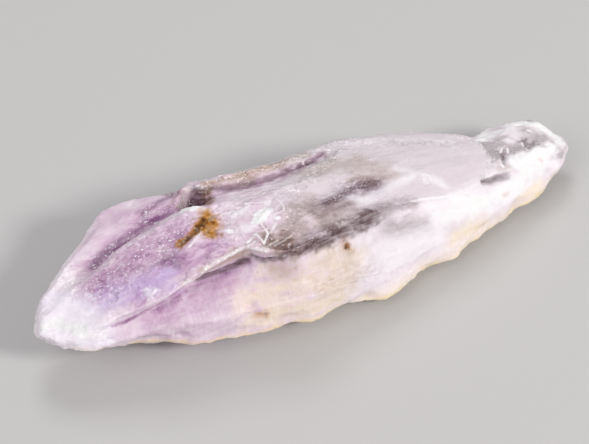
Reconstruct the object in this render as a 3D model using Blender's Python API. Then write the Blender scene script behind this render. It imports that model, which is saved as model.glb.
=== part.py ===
"""A rough amethyst crystal: one long, flattened quartz prism, etched and chipped, with a clear broken tip.

The crystal lies on a flat prism face. X runs along it from the blunt heel to the tip, Y from its front flank to
its back wall, and Z up. The origin is on the resting face, under the middle of the crystal's box.
Lengths are in millimetres until the mesh is made.
"""

import math

import bmesh
import bpy
import numpy as np
from mathutils import Matrix, Vector, noise

MM = 0.001
NAME = "amethyst_crystal"

LENGTH = 50.0
HALF = LENGTH / 2

# Places along X where the crystal's form changes
HEEL_RIM = -22.5
BACK_CORNER = -15.5
LIP_START = -12.0
SUMMIT = -6.5
BROADEST = -3.5
NOTCH = 7.0
STEP = 16.0
TIP_RIM = 22.5

# The step down to the clear tip: its length along X and its height
STEP_RUN = 0.75
STEP_DROP = 0.75

# Ends that every rail runs towards, and how far each end stays from a sharp point: 0 is a needle
HEEL = (-HALF, -0.5, 4.0)
TIP = (HALF, 0.0, 2.25)
HEEL_BLUNTNESS = 0.55
TIP_BLUNTNESS = 0.2

# Rails: the lines that run along the crystal, each as the (x, y, z) of its corners between the heel and the tip.
# The front edge sweeps out from the heel, has a shallow bay and a notch, and runs in to the tip
FRONT_EDGE = (
    (HEEL_RIM - 2, -1.5, 3.5),
    (HEEL_RIM, -3.5, 3.5),
    (-21.0, -4.0, 3.5),
    (-17.0, -4.0, 2.5),
    (-13.0, -6.0, 2.0),
    (BROADEST, -7.5, 1.5),
    (-0.5, -7.0, 1.5),
    (2.5, -7.5, 1.0),
    (NOTCH - 1.5, -7.25, 1.0),
    (NOTCH, -6.0, 1.0),
    (NOTCH + 2.5, -6.5, 1.0),
    (STEP + 1, -4.0, 1.0),
    (STEP + 3.5, -3.75, 1.0),
    (TIP_RIM, -2.0, 1.75),
)
FLANK_BULGE = (
    (HEEL_RIM - 1, -2.75, 4.0),
    (-20.0, -4.25, 4.0),
    (-16.0, -4.75, 4.25),
    (LIP_START, -6.0, 4.25),
    (BROADEST, -7.5, 4.25),
    (3.0, -7.25, 3.5),
    (STEP, -4.5, 2.75),
    (TIP_RIM, -2.25, 2.5),
)
# The foot of the hollow under the front lip, deepest where the lip stands out most
RECESS_FOOT = (
    (HEEL_RIM, -3.0, 4.75),
    (BACK_CORNER, -4.0, 5.5),
    (LIP_START, -3.75, 6.0),
    (SUMMIT - 2, -4.0, 6.75),
    (SUMMIT + 2, -6.0, 7.25),
    (1.0, -5.0, 6.25),
    (STEP + 1, -3.5, 4.0),
    (TIP_RIM, -1.5, 3.0),
)
FRONT_CREST = (
    (HEEL_RIM - 1, -1.5, 4.5),
    (-20.5, -3.5, 5.5),
    (BACK_CORNER, -4.5, 7.0),
    (LIP_START, -4.0, 8.0),
    (SUMMIT - 1.5, -3.75, 8.75),
    (SUMMIT, -5.25, 8.75),
    (SUMMIT + 2, -6.0, 8.5),
    (-1.0, -4.75, 8.25),
    (4.0, -3.75, 7.25),
    (10.5, -4.0, 5.75),
    (STEP - 1.5, -3.25, 4.75 + STEP_DROP),
    (STEP + 0.25, -2.75, 4.75),
    (TIP_RIM, -0.75, 3.75),
)
TOP_BAND = (
    (HEEL_RIM, -0.5, 5.0),
    (-18.0, -0.75, 6.5),
    (LIP_START, -1.0, 8.25),
    (SUMMIT - 1.5, -1.0, 8.75),
    (BROADEST, -2.25, 9.0),
    (4.0, -1.5, 7.75),
    (STEP - 0.5, -1.75, 5.0 + STEP_DROP),
    (STEP + 0.25, -1.75, 5.0),
    (STEP + 4, -0.75, 4.5),
)
UPPER_CREST = (
    (HEEL_RIM, 0.25, 5.25),
    (BACK_CORNER, 2.0, 7.5),
    (LIP_START, 2.25, 8.25),
    (SUMMIT - 3, 2.0, 8.75),
    (SUMMIT, 1.25, 8.75),
    (2.0, 0.75, 8.0),
    (STEP, -0.25, 5.0 + STEP_DROP),
    (STEP + STEP_RUN, -0.25, 5.0),
    (TIP_RIM, -0.25, 3.75),
)
# The valley runs between the upper crest and the ledge along the back
VALLEY = (
    (HEEL_RIM + 1, 2.0, 5.0),
    (BACK_CORNER + 1, 3.75, 6.25),
    (SUMMIT - 4, 4.25, 7.0),
    (SUMMIT, 3.75, 7.5),
    (-1.5, 3.0, 7.5),
    (4.5, 4.25, 7.0),
    (10.0, 3.5, 6.25),
    (STEP, 1.75, 4.75 + STEP_DROP),
    (STEP + STEP_RUN, 1.5, 4.75),
    (TIP_RIM - 1, 1.0, 4.5),
)
LEDGE_CREST = (
    (HEEL_RIM - 0.5, 1.75, 5.0),
    (-20.0, 4.0, 5.5),
    (BACK_CORNER - 1, 5.75, 6.0),
    (-11.0, 5.75, 6.75),
    (SUMMIT - 1, 5.25, 7.75),
    (-2.5, 4.5, 7.75),
    (1.5, 4.75, 7.0),
    (6.0, 5.25, 6.5),
    (STEP - 0.5, 2.5, 4.75 + STEP_DROP),
    (STEP + 0.5, 2.25, 4.75),
    (TIP_RIM, 1.5, 4.5),
)
# The back edge stands out farthest at the back corner and runs almost straight from there to the step
BACK_EDGE = (
    (HEEL_RIM - 2, 0.25, 4.25),
    (HEEL_RIM - 1, 2.0, 4.5),
    (-20.5, 4.25, 5.0),
    (BACK_CORNER, 8.0, 5.75),
    (BACK_CORNER + 2, 8.0, 6.0),
    (SUMMIT - 2.5, 6.5, 6.5),
    (SUMMIT - 1, 6.25, 7.0),
    (-2.0, 5.5, 6.75),
    (5.0, 6.0, 6.25),
    (12.0, 4.75, 5.25),
    (STEP + 0.25, 2.5, 4.75),
    (STEP + 2.5, 3.0, 4.5),
    (TIP_RIM, 2.5, 4.25),
    (TIP_RIM + 1.5, 0.75, 3.25),
)
BACK_WALL = (
    (HEEL_RIM - 1, 2.0, 4.0),
    (-20.0, 5.0, 4.25),
    (BACK_CORNER, 8.5, 4.5),
    (LIP_START, 8.5, 4.5),
    (SUMMIT, 7.0, 4.75),
    (3.0, 7.0, 4.5),
    (STEP, 3.5, 3.25),
    (TIP_RIM, 2.5, 3.25),
)
BACK_FOOT = (
    (HEEL_RIM, 2.0, 3.5),
    (BACK_CORNER, 7.5, 2.25),
    (-11.0, 7.25, 2.0),
    (3.0, 6.25, 1.75),
    (STEP, 3.0, 1.5),
    (TIP_RIM, 2.0, 2.0),
)

# The flat face that the crystal rests on: where it starts and ends, its edges, and how it rises at both ends
SOLE_START = -13.0
SOLE_END = 15.0
SOLE_BACK = (
    (HEEL_RIM, 0.75, 3.0),
    (SOLE_START, 3.5, 0.0),
    (SOLE_END, 1.5, 0.0),
    (TIP_RIM, 0.75, 1.25),
)
SOLE_FRONT = (
    (HEEL_RIM, -1.5, 3.0),
    (SOLE_START, -3.0, 0.0),
    (-3.0, -4.5, 0.0),
    (SOLE_END, -2.5, 0.0),
    (TIP_RIM, -0.75, 1.25),
)

# The rails in their order round the crystal, each with the number of faces to the next one
RING = (
    (FRONT_EDGE, 3),
    (FLANK_BULGE, 4),
    (RECESS_FOOT, 2),
    (FRONT_CREST, 4),
    (TOP_BAND, 4),
    (UPPER_CREST, 3),
    (VALLEY, 3),
    (LEDGE_CREST, 2),
    (BACK_EDGE, 3),
    (BACK_WALL, 3),
    (BACK_FOOT, 3),
    (SOLE_BACK, 4),
    (SOLE_FRONT, 3),
)

# Sections along the crystal, and the share of their spacing that follows a sine, which packs them near both ends
STATIONS = 104
END_PACKING = 0.5

# Running mean that rounds the corners of a rail: its width along X and how many samples it takes
RAIL_ROUNDING = 0.8
RAIL_SAMPLES = 7

# Swellings: their length along the crystal, their width, their height, and the height over which they fade in
LUMP_LENGTH = 5.0
LUMP_WIDTH = 2.4
LUMP_HEIGHT = 0.2
LUMP_RAMP = 1.0
# Each of the layers of swellings is this much finer than the one before, and loses height at this rate
LUMP_LAYERS = 3
LUMP_FINER = 2.1
LUMP_FALL = 0.9

# Grooves that follow a rail: depth, half width, rail, X of the start and the end, and how far in (y, z) from the rail
CREASE_UNDER_LIP = (0.5, 0.9, RECESS_FOOT, HEEL_RIM + 3.5, SUMMIT - 2, (0.0, 0.5))
SMOKY_GROOVE = (0.45, 1.0, FRONT_CREST, SUMMIT + 0.5, 5.5, (0.5, -0.25))
VALLEY_GROOVE = (0.45, 0.9, VALLEY, HEEL_RIM + 3, SUMMIT - 3.5, (-0.25, 0.25))
LEDGE_GROOVE = (0.5, 0.8, VALLEY, SUMMIT, 3.5, (0.0, 0.0))
RAIL_GROOVES = (CREASE_UNDER_LIP, SMOKY_GROOVE, VALLEY_GROOVE, LEDGE_GROOVE)
RAIL_GROOVE_POINTS = 8

# Hollows and ridges of their own: depth, half width and both ends. A ridge has a depth below 0
MIDDLE_HOLLOW = (0.45, 1.5, (-1.0, -1.5, 8.5), (2.0, -0.5, 8.0))
OVAL_HOLLOW = (0.3, 1.0, (-6.0, -1.5, 8.75), (-4.5, -0.5, 8.75))
FAN_HOLLOW = (0.35, 1.2, (-5.0, -3.5, 8.75), (-3.5, -3.0, 8.75))
POCKET_RIDGE = (-0.4, 0.7, (-10.5, 4.0, 7.5), (-8.0, 6.5, 7.0))
SADDLE_RIDGE = (-0.25, 0.8, (-16.5, -2.0, 7.0), (-12.0, -2.0, 8.0))
TIP_GROOVE = (0.4, 0.7, (14.5, -3.0, 5.25), (17.0, -3.0, 4.5))
HOLLOWS = (MIDDLE_HOLLOW, OVAL_HOLLOW, FAN_HOLLOW, POCKET_RIDGE, SADDLE_RIDGE, TIP_GROOVE)

# Flat faces broken or grown at the two ends, each as a point of the plane and its outward normal
FACETS = (
    ((24.0, 1.25, 3.0), (0.75, 0.62, 0.25)),
    ((22.5, 1.25, 4.4), (0.25, 0.25, 0.93)),
    ((23.5, -1.0, 3.1), (0.45, -0.35, 0.82)),
    ((23.0, 0.5, 1.3), (0.35, 0.1, -0.93)),
    ((-24.6, -0.25, 4.2), (-0.8, 0.3, 0.5)),
    ((-24.6, -1.0, 3.6), (-0.8, -0.55, -0.2)),
    ((-20.0, 4.9, 3.4), (-0.62, 0.74, -0.25)),
)
# Points this close to a cutting plane count as lying on it
CUT_TOLERANCE = 1e-5

# The pit beside the pocket ridge: its centre, its size along, across and down, and how it is turned
PIT_CENTRE = (-9.0, 3.75, 8.0)
PIT_SIZE = (2.2, 2.6, 2.8)
PIT_TURN = 40.0
PIT_LEAN = 24.0

# Milky amethyst
LAVENDER = (0.62, 0.52, 0.66, 1.0)
ROUGHNESS = 0.3
QUARTZ_IOR = 1.544


def stations():
    """X of each section, closer together towards both ends. The ends themselves are single points."""
    u = np.linspace(-1, 1, STATIONS + 2)[1:-1]
    return HALF * ((1 - END_PACKING) * u + END_PACKING * np.sin(u * math.pi / 2))


def end_of_rail(end, nearest, bluntness):
    """Where a rail meets an end of the crystal: a little way from its middle, towards the rail's nearest point."""
    return (end[0], *(e + (n - e) * bluntness for e, n in zip(end[1:], nearest[1:])))


def rail_at(points, x):
    """Y and Z of a rail at each X, with its corners rounded by a short running mean."""
    heel = end_of_rail(HEEL, points[0], HEEL_BLUNTNESS)
    tip = end_of_rail(TIP, points[-1], TIP_BLUNTNESS)
    corners = np.array([heel, *points, tip])
    offsets = np.linspace(-RAIL_ROUNDING / 2, RAIL_ROUNDING / 2, RAIL_SAMPLES)
    # The mean narrows to nothing at the ends, where the rail has to meet the point
    reach = np.clip((HALF - np.abs(x)) / RAIL_ROUNDING, 0, 1)
    sampled = x[:, None] + offsets[None, :] * reach[:, None]
    y = np.interp(sampled, corners[:, 0], corners[:, 1]).mean(axis=1)
    z = np.interp(sampled, corners[:, 0], corners[:, 2]).mean(axis=1)
    return np.stack([y, z], axis=1)


def section_points(x):
    """The crystal's surface as a grid of points: one row for each station, one column for each place round it."""
    rails = [rail_at(points, x) for points, _ in RING]
    columns = []
    for i, (_, faces) in enumerate(RING):
        here, there = rails[i], rails[(i + 1) % len(rails)]
        for k in range(faces):
            columns.append(here + (there - here) * k / faces)
    grid = np.stack(columns, axis=1)
    return np.concatenate([np.broadcast_to(x[:, None, None], (*grid.shape[:2], 1)), grid], axis=2)


def loft(grid):
    """A closed mesh through the grid's sections, with a point at each end."""
    bm = bmesh.new()
    rows = [[bm.verts.new(p) for p in row] for row in grid]
    for row, following in zip(rows, rows[1:]):
        for j in range(len(row)):
            k = (j + 1) % len(row)
            bm.faces.new((row[j], row[k], following[k], following[j]))
    for end, row in ((HEEL, rows[0]), (TIP, rows[-1])):
        apex = bm.verts.new(end)
        for j in range(len(row)):
            bm.faces.new((apex, row[j], row[(j + 1) % len(row)]))
    bmesh.ops.recalc_face_normals(bm, faces=bm.faces)
    return bm


def raise_lumps(bm):
    """Long low swellings and hollows over the whole surface except the resting face, which stays flat."""
    bm.normal_update()
    moves = []
    for vert in bm.verts:
        place = Vector((vert.co.x / LUMP_LENGTH, vert.co.y / LUMP_WIDTH, vert.co.z / LUMP_WIDTH))
        height = LUMP_HEIGHT * noise.fractal(place, LUMP_FALL, LUMP_FINER, LUMP_LAYERS)
        ramp = min(1.0, max(0.0, vert.co.z) / LUMP_RAMP)
        moves.append((vert, vert.normal * height * ramp))
    for vert, move in moves:
        vert.co += move


def line_by_rail(points, start, end, away):
    """Points that follow a rail from one X to another, at a fixed distance in Y and Z from it."""
    x = np.linspace(start, end, RAIL_GROOVE_POINTS)
    places = rail_at(points, x) + np.array(away)
    return [Vector((along, y, z)) for along, (y, z) in zip(x, places)]


def distance_to_line(point, line):
    """Distance from a point to a line of straight runs."""
    nearest = math.inf
    for a, b in zip(line, line[1:]):
        run = b - a
        share = min(1.0, max(0.0, (point - a).dot(run) / run.length_squared))
        nearest = min(nearest, (point - a - run * share).length)
    return nearest


def carve(bm, depth, half_width, line):
    """Presses a groove with sloping sides into the surface along a line, or raises a ridge."""
    bm.normal_update()
    for vert in bm.verts:
        share = 1 - distance_to_line(vert.co, line) / half_width
        if share > 0:
            vert.co -= vert.normal * depth * share


def carve_all(bm):
    """The grooves along the rails, then the hollows and ridges of their own."""
    for depth, half_width, points, start, end, away in RAIL_GROOVES:
        carve(bm, depth, half_width, line_by_rail(points, start, end, away))
    for depth, half_width, *ends in HOLLOWS:
        carve(bm, depth, half_width, [Vector(place) for place in ends])


def cut_facet(bm, point, normal):
    """Slices off what stands in front of a plane and closes the cut with one flat face."""
    geometry = bm.verts[:] + bm.edges[:] + bm.faces[:]
    cut = bmesh.ops.bisect_plane(
        bm, geom=geometry, dist=CUT_TOLERANCE, plane_co=point, plane_no=normal, clear_outer=True
    )
    rim = [item for item in cut["geom_cut"] if isinstance(item, bmesh.types.BMEdge)]
    bmesh.ops.holes_fill(bm, edges=rim)


def object_from(bm, name, collection):
    """Turns a mesh in millimetres into an object in metres."""
    bmesh.ops.scale(bm, vec=(MM, MM, MM), verts=bm.verts)
    mesh = bpy.data.meshes.new(name)
    bm.to_mesh(mesh)
    bm.free()
    obj = bpy.data.objects.new(name, mesh)
    collection.objects.link(obj)
    return obj


def pit_cutter(collection, shift):
    """The block whose corner bites the four-sided pit out of the top."""
    bm = bmesh.new()
    turn = Matrix.Rotation(math.radians(PIT_TURN), 4, "Z") @ Matrix.Rotation(math.radians(PIT_LEAN), 4, "Y")
    place = Matrix.Translation(Vector(PIT_CENTRE) + shift) @ turn
    bmesh.ops.create_cube(bm, size=1, matrix=place @ Matrix.Diagonal((*PIT_SIZE, 1)))
    cutter = object_from(bm, "pit_cutter", collection)
    cutter.hide_render = True
    cutter.display_type = "WIRE"
    return cutter


def amethyst_material():
    material = bpy.data.materials.new("milky amethyst")
    material.use_nodes = True
    shader = material.node_tree.nodes["Principled BSDF"]
    shader.inputs["Base Color"].default_value = LAVENDER
    shader.inputs["Roughness"].default_value = ROUGHNESS
    shader.inputs["Metallic"].default_value = 0.0
    shader.inputs["IOR"].default_value = QUARTZ_IOR
    return material


def middle_of_box(bm):
    """How far the crystal has to move for its box to stand over the origin."""
    places = np.array([vert.co for vert in bm.verts])
    low, high = places.min(axis=0), places.max(axis=0)
    return Vector((-(low[0] + high[0]) / 2, -(low[1] + high[1]) / 2, -low[2]))


def remove_everything():
    for obj in list(bpy.data.objects):
        bpy.data.objects.remove(obj)


def new_collection(name):
    collection = bpy.data.collections.new(name)
    bpy.context.scene.collection.children.link(collection)
    return collection


def main():
    remove_everything()
    bm = loft(section_points(stations()))
    raise_lumps(bm)
    carve_all(bm)
    for point, normal in FACETS:
        cut_facet(bm, point, normal)
    shift = middle_of_box(bm)
    bmesh.ops.translate(bm, vec=shift, verts=bm.verts)
    crystal = object_from(bm, NAME, new_collection("Amethyst crystal"))
    crystal.data.materials.append(amethyst_material())
    pit = crystal.modifiers.new("pit", "BOOLEAN")
    pit.operation = "DIFFERENCE"
    pit.solver = "EXACT"
    pit.object = pit_cutter(new_collection("Cutters"), shift)


main()
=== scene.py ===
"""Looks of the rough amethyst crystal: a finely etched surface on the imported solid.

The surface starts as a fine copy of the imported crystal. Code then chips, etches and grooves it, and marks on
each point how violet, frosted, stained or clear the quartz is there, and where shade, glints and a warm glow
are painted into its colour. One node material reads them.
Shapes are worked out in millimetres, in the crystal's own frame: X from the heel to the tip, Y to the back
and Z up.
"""

import math
from collections import namedtuple

import bmesh
import bpy
import numpy as np
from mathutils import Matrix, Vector
from mathutils.bvhtree import BVHTree


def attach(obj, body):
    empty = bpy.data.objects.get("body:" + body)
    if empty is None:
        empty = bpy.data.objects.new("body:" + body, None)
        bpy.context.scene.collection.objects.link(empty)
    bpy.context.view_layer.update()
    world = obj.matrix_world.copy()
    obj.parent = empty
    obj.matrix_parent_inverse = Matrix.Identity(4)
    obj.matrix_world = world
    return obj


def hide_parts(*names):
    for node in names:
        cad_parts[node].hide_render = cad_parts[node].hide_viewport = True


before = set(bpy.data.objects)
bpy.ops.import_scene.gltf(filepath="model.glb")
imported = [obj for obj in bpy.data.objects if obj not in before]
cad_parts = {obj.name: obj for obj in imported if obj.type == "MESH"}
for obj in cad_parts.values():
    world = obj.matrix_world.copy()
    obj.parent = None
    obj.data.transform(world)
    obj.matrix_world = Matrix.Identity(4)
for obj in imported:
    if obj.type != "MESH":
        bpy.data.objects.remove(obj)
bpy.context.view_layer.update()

MM = 0.001
CRYSTAL = "amethyst_crystal"

# How close points of the solid are welded, in metres, the finest step of the surface in millimetres,
# how strongly and how often it is smoothed before it is etched, and how many triangles are kept
WELD = 1e-7
VOXEL = 0.10
SMOOTHING = 0.5
SMOOTHINGS = 12
MOST_TRIANGLES = 190000

# Camera of the photograph: turn and height angle in degrees, distance and aim in millimetres
CAMERA_TURN = -28.0
CAMERA_HEIGHT = 45.0
CAMERA_DISTANCE = 187.5
CAMERA_AIM = (0.66, 4.0, 0.0)
CAMERA_LENS = 135.0
CAMERA_SENSOR = 36.0
PHOTO_WIDTH = 589
PHOTO_HEIGHT = 444

# Lines seen on the crystal, each as its corners in pixels across and down the photograph's frame
VALLEY = ((96, 266), (112, 253), (125, 241), (139, 229), (152, 220), (166, 213), (179, 209), (186, 204))
VALLEY_TOP = ((142, 213), (155, 205), (166, 199), (174, 195), (180, 193))
CREASE = (
    (112, 326), (125, 322), (140, 314), (160, 304), (175, 294),
    (186, 285), (199, 277), (214, 272), (235, 264),
)
CREASE_RIGHT = ((199, 278), (212, 274), (224, 270), (236, 265), (248, 260))
CREASE_SHADE = ((158, 308), (175, 299), (192, 290), (210, 280), (235, 268))
CREASE_END = ((252, 256), (265, 260), (282, 258), (293, 251))
LIP_UNDERSIDE = ((202, 272), (215, 266), (230, 259), (245, 252))
# Dark bands and patches of clearer quartz, where shade is painted on
DARK_BAND = ((289, 250), (303, 246), (317, 242), (331, 237), (345, 231), (359, 223), (373, 215))
DARK_TOP = ((300, 241), (315, 235), (330, 228), (345, 222), (360, 217), (375, 212), (390, 207))
DARK_TAIL = ((376, 213), (395, 206), (414, 202))
DARK_PATCH = ((328, 202), (336, 198), (344, 195), (354, 190), (364, 186), (376, 185))
DARK_PATCH_END = ((314, 207), (322, 204), (330, 201))
DARK_PATCH_LOW = ((312, 211), (322, 214), (334, 210), (346, 204))
DARK_PATCH_RIM = ((352, 181), (360, 178), (368, 180))
DARK_LOW = ((392, 228), (410, 226), (425, 224))
HATCH = ((269, 240), (280, 247), (287, 238), (292, 249))
HATCH_LINES = (
    ((262, 250), (278, 240)),
    ((270, 256), (290, 244)),
    ((284, 257), (298, 247)),
    ((274, 246), (292, 236)),
)
DARK_TRIANGLE = ((165, 262), (172, 257), (178, 263))
FLANK_VIOLET = ((150, 325), (175, 312), (205, 298), (235, 284))
FLANK_PINK = ((110, 338), (140, 330), (180, 325), (220, 315))
BLUE_LILAC = ((105, 300), (125, 292), (145, 285), (165, 280))
LEFT_BODY = ((100, 290), (120, 272), (140, 258), (160, 245), (180, 235))
LEFT_BODY_LOW = ((140, 290), (165, 268), (190, 256), (215, 246))
BODY_RIGHT = ((172, 236), (182, 252), (196, 256), (210, 250))
PALE_FACE = ((95, 240), (115, 225), (135, 212), (160, 205))
LEDGE_GROOVE = (
    (213, 188), (235, 188), (256, 184), (270, 178),
    (284, 173), (298, 167), (312, 161), (322, 154),
)
LEDGE_TAN = ((205, 184), (230, 178), (255, 171), (280, 162), (305, 154))
BACK_DARK = ((150, 196), (160, 194), (170, 193), (178, 191))
PIT_DARK = ((194, 192), (201, 194), (202, 203), (194, 205), (195, 197))
PIT_FACET = ((187, 190), (183, 197), (179, 204))
PIT_BROWN = ((208, 194), (209, 199), (208, 204))
PIT_RIM = ((191, 187), (199, 186), (207, 189))
UPPER_CREST = (
    (72, 296), (83, 282), (95, 270), (107, 262), (119, 254),
    (132, 242), (145, 234), (155, 226), (172, 219),
)
WHITE_LIP = ((184, 211), (192, 209), (200, 209), (207, 211))
STAIN_BLOB = ((206, 217), (210, 221), (212, 227), (212, 232))
STAIN_CORNER = ((204, 224), (206, 229))
STAIN_LINE = ((189, 248), (196, 239), (203, 231))
STAIN_STREAK = ((181, 244), (188, 238), (196, 230), (203, 222))
LIP = (
    (185, 284), (197, 277), (205, 270), (215, 263), (225, 258),
    (238, 251), (246, 247), (255, 249), (268, 251),
)
CREST_MIDDLE = (
    (290, 250), (300, 247), (312, 240), (322, 232),
    (335, 226), (350, 218), (365, 212), (380, 208),
)
THIN_LINE = ((396, 204), (420, 199), (445, 196), (470, 193))
CREST_RIGHT = ((405, 204), (430, 203), (455, 198), (478, 189))
CREST_VEIL = ((432, 208), (455, 201), (474, 192))
TOP_SPARKLE = ((326, 144), (340, 141), (360, 140), (380, 141), (400, 143), (420, 142), (440, 143), (455, 146))
BACK_EDGE = ((295, 158), (320, 148), (345, 144), (365, 142), (395, 139), (425, 139), (452, 141))
RIDGE_SPARKLE = ((300, 185), (308, 180), (316, 172), (322, 166), (330, 158), (340, 150))
RING_LINES = (
    ((245, 204), (256, 203), (270, 200)),
    ((277, 199), (283, 205), (284, 211)),
    ((276, 224), (273, 229), (270, 233)),
)
RING_BEAD = ((276, 219), (279, 218))
BRIGHT_LENS = ((266, 212), (262, 216), (258, 221))
LENS_TAIL = ((258, 221), (252, 226), (246, 229))
LENS_LEFT = ((232, 217), (238, 212), (247, 207))
WHITE_DOTS = ((227, 231), (232, 232))
ZIGZAG = ((247, 242), (256, 235), (264, 244), (268, 234), (261, 224))
ZIGZAG_TWO = ((246, 247), (250, 245), (256, 241))
WHITE_FLOW = ((350, 197), (365, 200), (382, 192), (398, 183), (412, 176))
WHITE_WISP = ((395, 168), (414, 172), (432, 178), (446, 187))
BODY_GREY = ((294, 232), (298, 215), (308, 205), (322, 218), (338, 212))
GREY_PINK = ((315, 170), (335, 165), (360, 165), (380, 172))
GREY_CENTRE = ((232, 230), (238, 209), (258, 197), (285, 191), (297, 210), (288, 226))
RING_CENTRE = ((425, 178),)
WHITE_LOW = ((388, 258), (402, 250), (418, 240), (435, 232))
WHITE_TIP = ((440, 216), (462, 206), (485, 200), (508, 190), (530, 172), (546, 158))
WHITE_TIP_TOP = ((515, 162), (530, 158), (545, 152), (553, 146))
CREAM_LOW = ((248, 300), (265, 295), (280, 290), (310, 285), (340, 285))
CREAM_EDGE = ((255, 320), (285, 312), (315, 306), (340, 298))
CREAM_MIDDLE = ((262, 274), (280, 273), (298, 273))
TAN_PATCH = ((274, 270), (284, 271), (294, 269))
CREAM_RIGHT = ((455, 238), (470, 231), (481, 224))
CREAM_TIP = ((520, 199), (530, 193), (538, 187))
CREAM_SPOTS = (((539, 160), (541, 161)), ((504, 195), (508, 194)))
CREAM_PATCH = ((322, 262), (338, 262), (352, 262), (345, 280), (328, 288))
OCHRE_EDGE = ((259, 315), (266, 315))
BROWN_SPOT = ((347, 246),)
SPOT_HALO = ((343, 243), (350, 251))
FLANK_BULGE = ((255, 309), (300, 297), (354, 285), (380, 277), (421, 264))
SLOT = ((484, 181), (490, 181), (497, 178), (506, 176))
SLOT_EDGE = ((482, 178), (488, 177), (495, 173), (504, 172), (513, 168))
SLOT_DARKS = (((483, 181), (489, 179)), ((494, 178), (500, 178)), ((504, 176), (507, 174)))
SLOT_TRIANGLE = ((500, 171), (508, 169), (515, 166))
TIP_BARS = (
    ((499, 160), (503, 167)),
    ((507, 149), (508, 153)),
    ((502, 149), (500, 152)),
    ((523, 142), (523, 145)),
    ((526, 148), (528, 150)),
    ((481, 143), (485, 152)),
)
TIP_ARCS = (
    ((481, 137), (490, 132), (501, 130), (513, 130), (526, 131), (532, 134)),
    ((488, 138), (500, 137), (512, 138), (522, 140)),
    ((505, 127), (520, 126), (534, 127), (544, 132)),
)
TIP_RIM = ((506, 125), (520, 123), (534, 124), (544, 130), (554, 137), (560, 143))
TIP_MILK = ((479, 140), (487, 135), (498, 131), (510, 129))
TIP_PATCH = ((500, 151), (504, 157), (503, 162))
TIP_LENS = ((525, 139), (528, 148), (535, 143), (545, 145))
TIP_END = ((554, 148), (558, 146))
TIP_BAND = ((556, 149), (552, 153), (546, 157))
STEP_LINE = ((468, 139), (481, 143), (486, 152), (493, 160), (488, 167), (482, 176))
STEP_CRACK = ((470, 139), (480, 140), (494, 142))
HEEL_END = ((46, 324), (60, 325), (80, 330), (100, 335))
HEEL_WHITE = ((54, 304), (68, 306), (86, 312))
SPARKLE_KNOT = ((146, 290), (150, 297), (156, 290))

# Height of the front edge's rim, in millimetres, at places along X
RIM_PLACES = (-22.0, -17.0, -13.0, -3.0, 3.0, 17.0, 23.0)
RIM_HEIGHTS = (3.5, 2.5, 2.0, 1.5, 1.0, 1.0, 1.8)

# Where parts of the crystal begin or end, in millimetres, as (0 here, 1 from here on)
VIOLET_FROM = (-22.0, -16.0)
VIOLET_TO = (2.0, -8.0)
THIN_EDGE_ALONG = (-11.0, -3.0)
THIN_EDGE_FRONT = (-2.0, -4.0)
THIN_EDGE_BELOW = (2.8, 1.0)
RIM_ALONG = (-24.0, -20.0)
RIM_FRONT = (-1.0, -2.5)
RIM_NEAR = (0.5, 0.05)
CLEAR_TIP_FROM = (15.5, 16.9)
CLEAR_TIP_SLANT = (-1.0, -3.0)
CLEAR_TIP_BEHIND = (-2.9, -1.9)
GLASSY_TOP_FROM = (-5.0, 2.0)
CALM_FROM = (3.0, 8.0)
FLANK_FROM = (-21.0, -19.0)
FLANK_TO = (22.0, 19.0)
SCALLOPS_NEAR_RIM = (1.8, 0.7)
SCALLOPS_FRONT = (-0.5, -2.5)
SCALLOPS_AT_TIP = (15.0, 17.0)
ABOVE_REST = (0.02, 0.5)

# The same for the way the surface faces, as the share of its normal towards that side
FACES_FRONT = (0.2, 0.5)
FACES_UP = (0.3, 0.8)
STEEP_FRONT = (0.3, 0.7)
STEEP_BACK = (0.5, 0.85)
UNDERSIDE = (0.5, 0.8)

# The same, as the share towards the back, for all that isn't a steep front
FACES_NOT_FRONT = (-0.75, -0.4)

# Grooves and ridges narrower than this are broken up into beads
BEADED_BELOW = 0.5

# How strongly beads swell, their least and greatest share of a groove's depth, and how its sides curve
BEAD_SWELL = 1.2
BEAD_LEAST = 0.2
BEAD_MOST = 1.8
GROOVE_CURVE = 1.5

# Grooves, and ridges where the depth is below 0, as (line, half width, depth) in millimetres
GROOVES = (
    (CREASE, 0.25, 0.15),
    (CREASE_END, 0.4, 0.18),
    (DARK_BAND, 0.7, 0.1),
    (VALLEY, 1.1, 0.12),
    (LEDGE_GROOVE, 0.5, 0.2),
    (FLANK_BULGE, 1.8, 0.3),
    (UPPER_CREST, 1.0, 0.14),
    (LIP, 0.4, -0.10),
    (CREST_MIDDLE, 0.3, -0.08),
    (THIN_LINE, 0.18, -0.08),
    (CREST_RIGHT, 1.3, 0.18),
    (WHITE_LIP, 0.5, -0.24),
    (BRIGHT_LENS, 0.6, -0.16),
    (LENS_LEFT, 0.4, -0.1),
    (RING_BEAD, 0.22, -0.16),
    (ZIGZAG, 0.2, -0.12),
    (ZIGZAG_TWO, 0.2, -0.12),
    (SLOT, 0.55, 0.25),
    (SLOT_EDGE, 0.25, -0.12),
    (STAIN_STREAK, 0.5, 0.12),
    (STAIN_LINE, 0.12, -0.08),
    (RING_CENTRE, 0.4, 0.1),
    (TIP_PATCH, 0.4, 0.22),
    (TIP_LENS, 0.45, 0.18),
    (STEP_LINE, 0.25, 0.12),
    (STEP_CRACK, 0.14, 0.14),
    (SPARKLE_KNOT, 0.4, -0.12),
)
GROOVES += tuple((line, 0.14, -0.08) for line in RING_LINES)
GROOVES += tuple((line, 0.10, -0.07) for line in HATCH_LINES)
GROOVES += tuple((line, 0.14, -0.14) for line in TIP_BARS)
GROOVES += tuple((line, 0.3, 0.1) for line in SLOT_DARKS)
GROOVES += tuple((line, 0.18, 0.06) for line in TIP_ARCS)
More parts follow.
